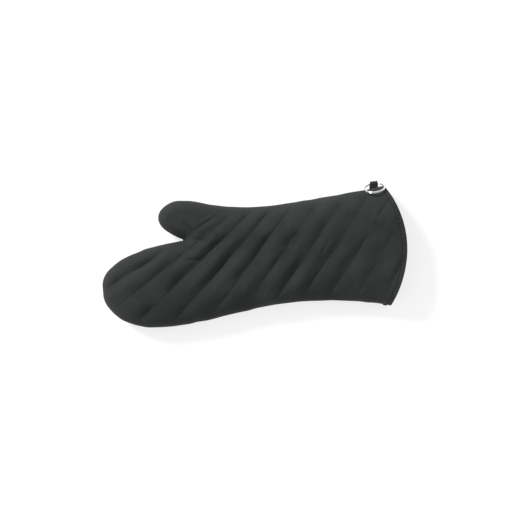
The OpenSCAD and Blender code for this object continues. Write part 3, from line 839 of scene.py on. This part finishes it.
def build_layer(kind, faces, raised, start, step, slot):
    """One layer of both panels: hand and fingers in one piece, the thumb in another."""
    made = []
    for word, side in SIDES:
        whole = panel(f"{word}_{kind}_panel", "hand", side, faces, raised, material(kind), start, step)
        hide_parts(f"{word}_{slot}", f"finger_{word}_{slot}")
        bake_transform(whole)
        thumb = panel(f"thumb_{word}_{kind}_panel", "thumb", side, faces, raised, material(kind), 0, step)
        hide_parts(f"thumb_{word}_{slot}")
        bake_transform(thumb)
        made += [whole, thumb]
    return made


class MITT_OT_outer_cloth(Operator):
    """Build the quilted outer cloth of the palm, back and thumb"""

    bl_idname = "mitt.outer_cloth"
    bl_label = "Outer cloth"

    def execute(self, context):
        for piece in build_layer("outer", CLOTH_FACES, (1, 1), CLOTH_START, 1, "outer_cloth"):
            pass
        return {"FINISHED"}


class MITT_OT_batting(Operator):
    """Build the cotton fill between the cloth and the lining"""

    bl_idname = "mitt.batting"
    bl_label = "Batting"

    def execute(self, context):
        for piece in build_layer("batting", BATTING_FACES, (1, INNER_RELIEF), BATTING_START, 2, "batting"):
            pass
        return {"FINISHED"}


class MITT_OT_lining(Operator):
    """Build the lining inside the mitt"""

    bl_idname = "mitt.lining"
    bl_label = "Lining"

    def execute(self, context):
        for piece in build_layer("lining", LINING_FACES, (INNER_RELIEF,) * 2, CLOTH_START, 2, "lining"):
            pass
        return {"FINISHED"}


def cuff_hem(word, side):
    """The hem's section is a strip of cloth turned over the panel's end: along its outside at each hem row,
    round the end on a half circle, back along its inside, and the same again one thickness in."""
    points, out, stand, _ = made_face("hand", side)
    outward = points[0] - points[1]
    outward /= np.linalg.norm(outward, axis=1)[:, None]
    half = HEM_HALF_WALL
    rows = np.arange(len(HEM_ROWS) - 1, 0, -1)
    stitched = np.exp(-(((HEM_ROWS - bpy.context.scene.mitt_cloth.stitch_in / MM) / 0.8) ** 2))
    sections = []
    for lift, bulge in ((0.3, 1.0), (-0.75, 0.35)):
        legs = [(r, -lift + 0.4 * stitched[r]) for r in rows]
        top = [points[r] + out[r] * (stand[r] - d)[:, None] for r, d in legs]
        turn = np.linspace(0, np.pi, 13)[1:-1]
        middle = points[1] - out[1] * half
        curve = [
            middle + out[1] * (np.cos(a) * (half + lift) + stand[1] * (1 + np.cos(a)) / 2)[:, None]
            + outward * (np.sin(a) ** 0.6 * bulge)
            for a in turn
        ]
        depths = [(r, 2 * half + lift - 0.3 * stitched[r]) for r in rows[::-1]]
        low = [points[r] + out[r] * (INNER_RELIEF * stand[r] - d)[:, None] for r, d in depths]
        sections.append(top + curve + low)
    ring = np.array(sections[0] + sections[1][::-1])
    pieces = np.swapaxes(ring, 0, 1)
    hem = add_mesh(f"{word}_cuff_hem", pieces, tube(pieces), material("hem"))
    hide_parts(f"cuff_hem_{word}")
    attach(hem, "mitt")


def sewn(path, out, length, gap):
    """The ends of stitches along a path, with the outward direction at each: a stitch, then a gap."""
    both = np.concatenate([path, out], 1)
    run = np.concatenate([[0], np.cumsum(np.linalg.norm(np.diff(path, axis=0), axis=1))])
    at = np.arange(gap, run[-1] - length - gap, length + gap)
    one = np.stack([np.interp(at, run, both[:, k]) for k in range(6)], 1)
    two = np.stack([np.interp(at + length, run, both[:, k]) for k in range(6)], 1)
    way = one[:, 3:] + two[:, 3:]
    return one[:, :3], two[:, :3], way / np.linalg.norm(way, axis=1)[:, None]


def blunt(v, power):
    """A cosine or a sine with its sign kept and its size raised to a power under 1, which squares a section."""
    return np.sign(v) * np.abs(v) ** power


class MITT_OT_cuff_hem(Operator):
    """Build the turned hem of the cuff, its line of stitches and the seam's end"""

    bl_idname = "mitt.cuff_hem"
    bl_label = "Cuff hem"

    def execute(self, context):
        cloth = context.scene.mitt_cloth
        row = int(np.argmin(np.abs(HEM_ROWS - cloth.stitch_in / MM)))
        for word, side in SIDES:
            cuff_hem(word, side)
            points, out, stand, _ = made_face("hand", side)
            path = points[row] + out[row] * (stand[row] - 0.1)[:, None]
            keep = slice(6, -6)
            start, end, way = sewn(path[keep], out[row][keep], *HEM_SEWING)
            radius = cloth.thread_t / MM * 0.62
            thread = stitches(f"{word}_hem_stitches", start, end, way, radius, material("hem_thread"))
            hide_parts(f"hem_thread_{word}")
            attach(thread, "mitt")
        tab = seam_end()
        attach(tab, "mitt")
        return {"FINISHED"}


def seam_end():
    """The side seam's folded end at the cuff's lower corner: a pillow with a square outline, each half of its
    sections a superellipse, fullest in the middle of its length."""
    t = np.linspace(-1, 1, 15)[:, None]
    turn = (np.arange(24) / 24 * 2 * np.pi)[None]
    size = (1 - np.abs(t) ** 5) ** 0.4
    u, v = blunt(np.cos(turn), 0.45) * size, blunt(np.sin(turn), 0.45) * size
    middle = CORNER_LOW_X - SEAM_END_IN
    long, wide, high = SEAM_END_HALF
    x = middle + long * t + 0.25 * np.sin(5 * u)
    y = lower_y(np.array(middle)) - 0.1 + wide * u - 0.36 * t
    points = np.stack([x, y, SEAM_Z + high * v + 0.2 * np.sin(4 * t)], 2)
    return add_mesh("seam_end_tab", points, tube(points), material("hem"))


class MITT_OT_seams(Operator):
    """Sew the side seam round the hand, fingers and thumb"""

    bl_idname = "mitt.seams"
    bl_label = "Side seam"

    def execute(self, context):
        cloth = context.scene.mitt_cloth
        corner = len(MAIN_XY)
        thumb_from = corner + (len(MAIN_XY) - ROOT_ROWS.stop)
        thumb_to = thumb_from + 2 * len(THUMB_XY) - 1
        spans = (
            ("hand_seam_stitches", 8, thumb_from),
            ("thumb_seam_stitches", thumb_from - 1, thumb_to),
            ("cuff_seam_stitches", thumb_to - 1, len(OUTLINE) - 8),
        )
        for name, first, last in spans:
            edge = OUTLINE[first:last]
            _, inward = edge_field(edge)
            path = np.column_stack([edge + inward * SEAM_IN, np.full(len(edge), SEAM_Z)])
            start, end, way = sewn(path, np.column_stack([-inward, np.zeros(len(edge))]), *SEAM_SEWING)
            thread = stitches(name, start, end, way, cloth.thread_t / MM * 0.55, material("thread"))
            if name.startswith("hand"):
                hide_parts("side_seam_thread", "finger_seam_thread")
                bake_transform(thread)
            elif name.startswith("thumb"):
                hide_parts("thumb_seam_thread")
                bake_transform(thread)
            else:
                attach(thread, "mitt")
        return {"FINISHED"}


def inside_hand(p):
    """Which points lie within the hand, fingers and sleeve, well inside the edge."""
    x, y = p[:, 0], p[:, 1]
    s = np.clip((KNUCKLE_X - x) / (KNUCKLE_X - TIP_X), 0, 1)
    low = np.where(x < KNUCKLE_X, finger_low(s), lower_y(x))
    high = np.where(x < KNUCKLE_X, finger_high(s), np.where(x < CROTCH[0], hand_y(x), upper_y(x)))
    cuff = CUFF_X - CUFF_BOW * ((y - CUFF_MID_Y) / (CUFF_W / 2)) ** 2 - 14
    d, _ = in_chunks(edge_field, p)
    return (y > low) & (y < high) & (x > TIP_X) & (x < cuff) & (d > 6.5) & (thumbness(x, y) < 0.12)


class MITT_OT_quilting(Operator):
    """Sew the slanted quilting lines"""

    bl_idname = "mitt.quilting"
    bl_label = "Quilting"

    def execute(self, context):
        cloth = context.scene.mitt_cloth
        length, gap = cloth.stitch / MM, cloth.stitch_gap / MM
        for word, side in SIDES:
            starts, ends = [], []
            for i in range(QUILT_FIRST, QUILT_LAST + 1):
                place, angle = line_place(i)
                t = np.arange(-125, 125, length + gap)
                d = np.array([math.cos(angle), math.sin(angle)])
                start = np.array([place, 0]) + t[:, None] * d
                end = start + length * d
                keep = inside_hand(start) & inside_hand(end)
                starts.append(start[keep])
                ends.append(end[keep])
            made = [face(np.concatenate(v), side) for v in (starts, ends)]
            start, end = (layer(m, 0.4) for m in made)
            radius = cloth.thread_t / MM * 0.45
            thread = stitches(f"{word}_quilting_stitches", start, end, made[0][1], radius, material("thread"))
            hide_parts(f"{word}_quilt_thread", f"finger_{word}_quilt_thread")
            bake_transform(thread)
        return {"FINISHED"}


# ---- The loop and ring ----
LOOP_X = (TAPE_LOW[0] + TAPE_HIGH[0]) / 2
TAPE_W = TAPE_HIGH[0] - TAPE_LOW[0]
EYE_OUTSIDE = (TAPE_HIGH[2] - TAPE_LOW[2]) / 2
EYE_Y = TAPE_HIGH[1] - EYE_OUTSIDE
ROOT_Y = TAPE_LOW[1]
SEWN_IN = 3.2
# The bar tack's two rows, their depth below the mitt's edge and the slope that crosses them
TACK_DEPTHS, TACK_CROSS = (3.4, 4.1), 0.9


def teardrop(radius, root, count=44):
    """A path from the root, up one straight ply, round the eye on a circle and back down the other ply."""
    reach = EYE_Y - ROOT_Y
    lean = math.acos(min(1.0, radius / reach)) if root < radius else 0.0
    turn = np.linspace(np.pi - lean, -np.pi + lean, count)
    eye = np.stack([reach + radius * np.cos(turn), radius * np.sin(turn)], 1)
    up = np.linspace([-SEWN_IN, root], eye[0], 8)[:-1]
    down = np.linspace(eye[-1], [-SEWN_IN, -root], 8)[1:]
    return np.concatenate([up, eye, down])


class MITT_OT_hang_loop(Operator):
    """Build the folded tape loop and the bar tack that holds it"""

    bl_idname = "mitt.hang_loop"
    bl_label = "Tape loop"

    def execute(self, context):
        thick = context.scene.mitt_fittings.tape_t / MM
        outer = teardrop(EYE_OUTSIDE, thick)
        inner = teardrop(EYE_OUTSIDE - thick, 0.05)
        w = np.linspace(-1, 1, 13)
        side = np.concatenate([w, w[::-1]])
        under = np.concatenate([np.zeros(13), np.ones(13)])
        path = outer[:, None] * (1 - under)[None, :, None] + inner[:, None] * under[None, :, None]
        rib = 0.06 * np.cos(side * 6 * np.pi) * (1 - under)
        gather = 1.03 - 0.17 * np.clip(path[..., 0] / (EYE_Y - ROOT_Y), 0, 1)
        slant = math.tan(context.scene.mitt_fittings.tape_slant)
        x = LOOP_X + side[None, :] * gather * TAPE_W / 2 + path[..., 0] * slant
        centre = np.array([EYE_Y - ROOT_Y, 0])
        away = path - centre
        away /= np.maximum(np.linalg.norm(away, axis=2), 0.5)[..., None]
        path = path + away * rib[None, :, None]
        points = np.stack([x, ROOT_Y + path[..., 0], SEAM_Z + path[..., 1]], 2)
        loop = add_mesh("tape_loop", points, tube(points), material("tape"))
        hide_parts("hang_loop_tape")
        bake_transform(loop)
        xs = np.linspace(LOOP_X - TAPE_W / 2 + 0.6, LOOP_X + TAPE_W / 2 - 0.6, 15)
        a, b = [], []
        for k, depth in enumerate(TACK_DEPTHS):
            a.append(np.stack([xs[:-1], upper_y(xs[:-1]) - depth - TACK_CROSS * (k == 0)], 1))
            b.append(np.stack([xs[1:], upper_y(xs[1:]) - depth + TACK_CROSS * (k == 1)], 1))
        made = [face(np.concatenate(v), 1) for v in (a, b)]
        start, end = (layer(m, 0.0) for m in made)
        tack = stitches("bar_tack", start, end, made[0][1], 0.5, material("thread"))
        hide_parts("loop_bar_tack")
        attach(tack, "mitt")
        return {"FINISHED"}


class MITT_OT_split_ring(Operator):
    """Build the split ring: two coils of flat wire with a step"""

    bl_idname = "mitt.split_ring"
    bl_label = "Split ring"

    def execute(self, context):
        """The wire's section is a rounded rectangle carried round two turns, with the first coil low and the
        second high. It steps up just before the end of the first turn, and the second stops short of the step."""
        fittings = context.scene.mitt_fittings
        outside = fittings.ring_d / MM / 2
        wide, thick = fittings.wire_w / MM, fittings.wire_t / MM
        middle = outside - wide / 2
        step = 0.42
        count = 240
        turn = np.linspace(0.05, 4 * np.pi - step - 0.05, count)
        level = mix(-1, 1, ease(turn, 2 * np.pi - step, 2 * np.pi)) * (thick / 2 + 0.03)
        a = np.arange(20) / 20 * 2 * np.pi
        u, v = blunt(np.cos(a), 0.55) * wide / 2, blunt(np.sin(a), 0.7) * thick / 2
        from_end = np.minimum(np.arange(count), np.arange(count)[::-1])
        taper = np.minimum(1, from_end / 3 * 0.4 + 0.5)
        r = middle + u[None] * taper[:, None]
        phase = turn[:, None] + math.radians(200)
        x, y = r * np.cos(phase), r * np.sin(phase)
        z = level[:, None] + v[None] * taper[:, None]
        lean = -fittings.ring_lean
        y -= middle
        y, z = y * math.cos(lean) - z * math.sin(lean), y * math.sin(lean) + z * math.cos(lean)
        across = LOOP_X + (EYE_Y - ROOT_Y) * math.tan(fittings.tape_slant)
        points = np.stack([across + x, EYE_Y + y, SEAM_Z + z], 2)
        ring = add_mesh("split_ring_wire", points, tube(points), material("ring"))
        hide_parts("split_ring")
        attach(ring, "key_ring")
        return {"FINISHED"}


# ---- The stage ----
# Half the floor's width and its height, just under the mitt's lowest stitch, in millimetres
FLOOR_HALF, FLOOR_Z = 6000.0, -1.05
# The way to the main light, and the point that the camera is above, in metres
KEY_FROM = (-0.66, 0.75, 0.62)
VIEW_OVER = (0.0040, 0.0017)


def set_camera(context):
    """A camera straight above the mitt with a long lens, its distance set by the span it sees at the seam."""
    stage = context.scene.mitt_stage
    camera = bpy.data.objects.new("Camera", bpy.data.cameras.new("Camera"))
    camera.data.lens = stage.view_lens / MM
    away = stage.view_span * camera.data.lens / camera.data.sensor_width
    camera.location = (*VIEW_OVER, SEAM_Z * MM + away)
    camera.data.clip_end = 50
    camera.rotation_euler = (0, 0, stage.view_turn)
    context.collection.objects.link(camera)
    context.scene.camera = camera


class MITT_OT_stage(Operator):
    """Set the floor, lights and camera"""

    bl_idname = "mitt.stage"
    bl_label = "Floor, lights and camera"

    def execute(self, context):
        stage = context.scene.mitt_stage
        set_camera(context)
        n = 60
        steps = np.linspace(-FLOOR_HALF, FLOOR_HALF, n)
        a, b = np.meshgrid(steps, steps, indexing="ij")
        quads = grid_quads(np.arange(n * n).reshape(n, n))
        paper = floor_material(tuple(stage.floor_colour))
        floor = add_mesh("floor", np.stack([a, b, 0 * a + FLOOR_Z], 2), [quads], paper)
        world = bpy.data.worlds.new("Soft studio")
        world.use_nodes = True
        sky = world.node_tree.nodes["Background"]
        sky.inputs["Color"].default_value = (1, 1, 1, 1)
        sky.inputs["Strength"].default_value = stage.sky
        context.scene.world = world
        light = bpy.data.lights.new("Key", "SUN")
        light.energy = stage.key
        light.angle = math.radians(18)
        lamp = bpy.data.objects.new("Key", light)
        d = np.array(KEY_FROM) / np.linalg.norm(KEY_FROM)
        lamp.location = d
        lamp.rotation_euler = (0, math.acos(d[2]), math.atan2(d[1], d[0]))
        context.collection.objects.link(lamp)
        context.scene.view_settings.view_transform = "Standard"
        return {"FINISHED"}


OPERATORS = (
    MITT_OT_stage,
    MITT_OT_outer_cloth,
    MITT_OT_batting,
    MITT_OT_lining,
    MITT_OT_cuff_hem,
    MITT_OT_seams,
    MITT_OT_quilting,
    MITT_OT_hang_loop,
    MITT_OT_split_ring,
)


class MITT_PT_panel(Panel):
    """The mitt's panel in the sidebar"""

    bl_idname = "MITT_PT_panel"
    bl_label = "Quilted oven mitt"
    bl_space_type = "VIEW_3D"
    bl_region_type = "UI"
    bl_category = "Mitt"

    def draw(self, context):
        for operator in OPERATORS:
            self.layout.operator(operator.bl_idname)
        for group in (context.scene.mitt_cloth, context.scene.mitt_fittings, context.scene.mitt_stage):
            box = self.layout.box()
            for key in group.__annotations__:
                box.prop(group, key)


GROUPS = (("mitt_cloth", MittCloth), ("mitt_fittings", MittFittings), ("mitt_stage", MittStage))


def register():
    """Registers the settings, the operators and the panel."""
    for name, group in GROUPS:
        bpy.utils.register_class(group)
        setattr(bpy.types.Scene, name, PointerProperty(type=group))
    for cls in (*OPERATORS, MITT_PT_panel):
        bpy.utils.register_class(cls)


def unregister():
    """Takes away what register adds."""
    for cls in (MITT_PT_panel, *reversed(OPERATORS)):
        bpy.utils.unregister_class(cls)
    for name, group in reversed(GROUPS):
        delattr(bpy.types.Scene, name)
        bpy.utils.unregister_class(group)


def main():
    """Builds every piece in order."""
    register()
    for operator in OPERATORS:
        getattr(bpy.ops.mitt, operator.bl_idname.split(".")[1])()
    bpy.context.view_layer.update()


if __name__ == "__main__":
    main()
